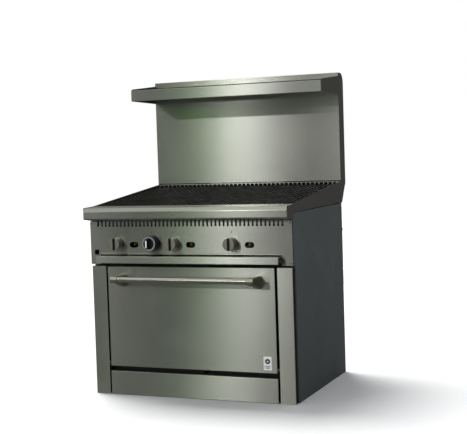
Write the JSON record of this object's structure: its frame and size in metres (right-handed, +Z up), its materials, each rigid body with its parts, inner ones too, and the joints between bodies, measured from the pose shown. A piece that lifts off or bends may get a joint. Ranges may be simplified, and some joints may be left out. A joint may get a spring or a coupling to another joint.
{
  "type": "gas charbroiler range",
  "caption": "Charbroiler range with slatted iron grates over a drop-door oven, a slide-out drip tray, control knobs, a tall riser and a high shelf.",
  "frame": {"origin": "on the floor, below the middle of the whole range's outer box", "axes": "+Z up, +X to the right of a person facing the controls, +Y to the rear"},
  "size_m": [0.9, 0.876, 1.345],
  "materials": {
    "stainless": "vertically brushed stainless steel, satin",
    "slate_paint": "dark slate-grey baked paint, semi-matte",
    "charcoal_paint": "warm charcoal baked paint, semi-matte",
    "black_paint": "black heat-resistant paint, matte",
    "galvanised": "galvanised sheet with a soft spangle",
    "aluminised": "aluminised steel, dull and heat-stained",
    "cast_iron": "seasoned black cast iron",
    "heat_steel": "stainless steel blued by heat",
    "satin_nickel": "die-cast, satin nickel plated",
    "bright_tube": "polished stainless tube",
    "brass": "machined brass",
    "black_pipe": "black gas pipe",
    "aluminium": "drawn tube",
    "black_plastic": "black moulded phenolic, slightly glossy",
    "oven_enamel": "speckled dark porcelain enamel",
    "rack_chrome": "chrome-plated wire",
    "zinc_steel": "zinc-plated steel",
    "mineral_wool": "mineral wool blanket"
  },
  "bodies": {
    "range_body": {"back_panel": "galvanised", "base_pan": "galvanised", "broiler_burner_1": "heat_steel", "broiler_burner_2": "heat_steel", "broiler_burner_3": "heat_steel", "burner_valves": "brass", "door_springs": "zinc_steel", "firebox": "aluminised", "flue_box": "galvanised", "front_ledge": "stainless", "gas_manifold": "black_pipe", "high_shelf": "stainless", "kick_panel": "stainless", "left_cheek": "charcoal_paint", "left_frame_post": "black_paint", "left_shelf_bracket": "charcoal_paint", "left_side_panel": "slate_paint", "left_stile": "stainless", "oven_burner": "aluminised", "oven_floor_plate": "oven_enamel", "oven_front_frame": "black_paint", "oven_gas_line": "aluminium", "oven_insulation": "mineral_wool", "oven_liner": "oven_enamel", "panel_screws": "zinc_steel", "pilot_valves": "brass", "rack_guides": "rack_chrome", "radiants": "heat_steel", "rear_grate_rest": "stainless", "right_cheek": "charcoal_paint", "right_frame_post": "black_paint", "right_shelf_bracket": "charcoal_paint", "right_side_panel": "slate_paint", "right_stile": "stainless", "riser_front_panel": "stainless", "riser_shell": "charcoal_paint", "thermostat_body": "brass", "tray_runners": "zinc_steel", "valve_panel": "stainless"},
    "oven_door": {"door_outer_panel": "stainless", "door_inner_panel": "oven_enamel", "door_insulation": "mineral_wool", "handle_bar": "bright_tube", "handle_posts": "satin_nickel", "hinge_arms": "zinc_steel", "hinge_pins": "zinc_steel"},
    "drip_tray": {"drip_tray": "galvanised", "drip_tray_pull": "stainless"},
    "oven_rack_1": {"oven_rack_1": "rack_chrome"},
    "oven_rack_2": {"oven_rack_2": "rack_chrome"},
    "thermostat_knob": {"thermostat_knob": "black_plastic"},
    "burner_knob_1": {"burner_knob_1": "satin_nickel"},
    "burner_knob_2": {"burner_knob_2": "satin_nickel"},
    "burner_knob_3": {"burner_knob_3": "satin_nickel"},
    "grate_1": {"grate_1": "cast_iron"},
    "grate_2": {"grate_2": "cast_iron"},
    "grate_3": {"grate_3": "cast_iron"},
    "grate_4": {"grate_4": "cast_iron"},
    "grate_5": {"grate_5": "cast_iron"},
    "grate_6": {"grate_6": "cast_iron"}
  },
  "joints": [
    {"name": "door_hinge", "type": "hinge", "parent": "range_body", "child": "oven_door", "pos_m": [0, -0.318, 0.132], "axis": [1, 0, 0], "range_deg": [0, 90], "stiffness_Nm_per_rad": 12, "springref_deg": -34.38, "deforming": ["door_springs"]},
    {"name": "tray_slide", "type": "slide", "parent": "range_body", "child": "drip_tray", "axis": [0, -1, 0], "range_m": [0, 0.5]},
    {"name": "rack_1_slide", "type": "slide", "parent": "range_body", "child": "oven_rack_1", "axis": [0, -1, 0], "range_m": [0, 0.022]},
    {"name": "rack_2_slide", "type": "slide", "parent": "range_body", "child": "oven_rack_2", "axis": [0, -1, 0], "range_m": [0, 0.022]},
    {"name": "burner_1_turn", "type": "hinge", "parent": "range_body", "child": "burner_knob_1", "pos_m": [-0.32125, -0.338, 0.64], "axis": [0, -1, 0], "range_deg": [0, 90]},
    {"name": "burner_2_turn", "type": "hinge", "parent": "range_body", "child": "burner_knob_2", "pos_m": [-0.06425, -0.338, 0.64], "axis": [0, -1, 0], "range_deg": [0, 90]},
    {"name": "burner_3_turn", "type": "hinge", "parent": "range_body", "child": "burner_knob_3", "pos_m": [0.19275, -0.338, 0.64], "axis": [0, -1, 0], "range_deg": [0, 90]},
    {"name": "thermostat_turn", "type": "hinge", "parent": "range_body", "child": "thermostat_knob", "pos_m": [-0.161, -0.338, 0.643], "axis": [0, -1, 0], "range_deg": [0, 270]},
    {"name": "grate_1_lift", "type": "slide", "parent": "range_body", "child": "grate_1", "axis": [0, 0, 1], "range_m": [0, 0.12]},
    {"name": "grate_2_lift", "type": "slide", "parent": "range_body", "child": "grate_2", "axis": [0, 0, 1], "range_m": [0, 0.12]},
    {"name": "grate_3_lift", "type": "slide", "parent": "range_body", "child": "grate_3", "axis": [0, 0, 1], "range_m": [0, 0.12]},
    {"name": "grate_4_lift", "type": "slide", "parent": "range_body", "child": "grate_4", "axis": [0, 0, 1], "range_m": [0, 0.12]},
    {"name": "grate_5_lift", "type": "slide", "parent": "range_body", "child": "grate_5", "axis": [0, 0, 1], "range_m": [0, 0.12]},
    {"name": "grate_6_lift", "type": "slide", "parent": "range_body", "child": "grate_6", "axis": [0, 0, 1], "range_m": [0, 0.12]}
  ]
}
